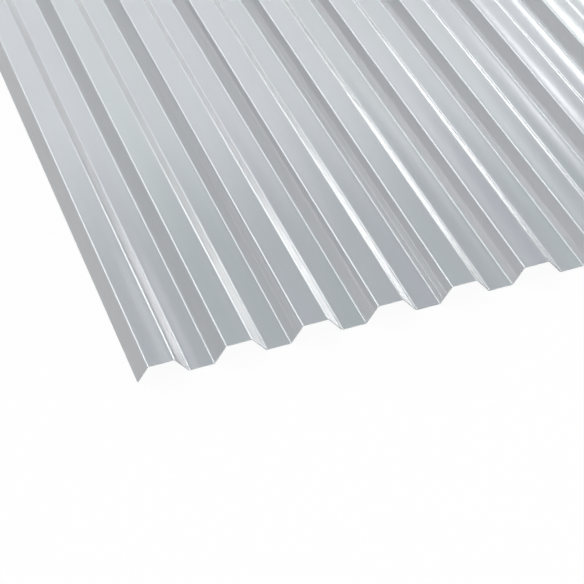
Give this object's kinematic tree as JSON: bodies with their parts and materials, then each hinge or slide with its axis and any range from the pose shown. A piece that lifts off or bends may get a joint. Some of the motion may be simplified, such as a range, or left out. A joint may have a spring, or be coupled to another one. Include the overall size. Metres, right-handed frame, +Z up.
{
  "type": "trapezoidal polycarbonate roof sheet",
  "caption": "Long clear plastic roof sheet folded into even trapezoidal waves, with side edges that end on a short slope for lapping.",
  "frame": {"origin": "middle of the underside, on the plane that the undersides of the valleys rest on", "axes": "+X across the waves, +Y along the waves, +Z up out of the crests"},
  "size_m": [1.037, 2, 0.018],
  "materials": {
    "clear_polycarbonate": "smooth glossy clear polycarbonate with a light cool grey tint, seen through with bright lines of light along its folds"
  },
  "bodies": {
    "root": {"roof_sheet": "clear_polycarbonate"}
  },
  "joints": []
}
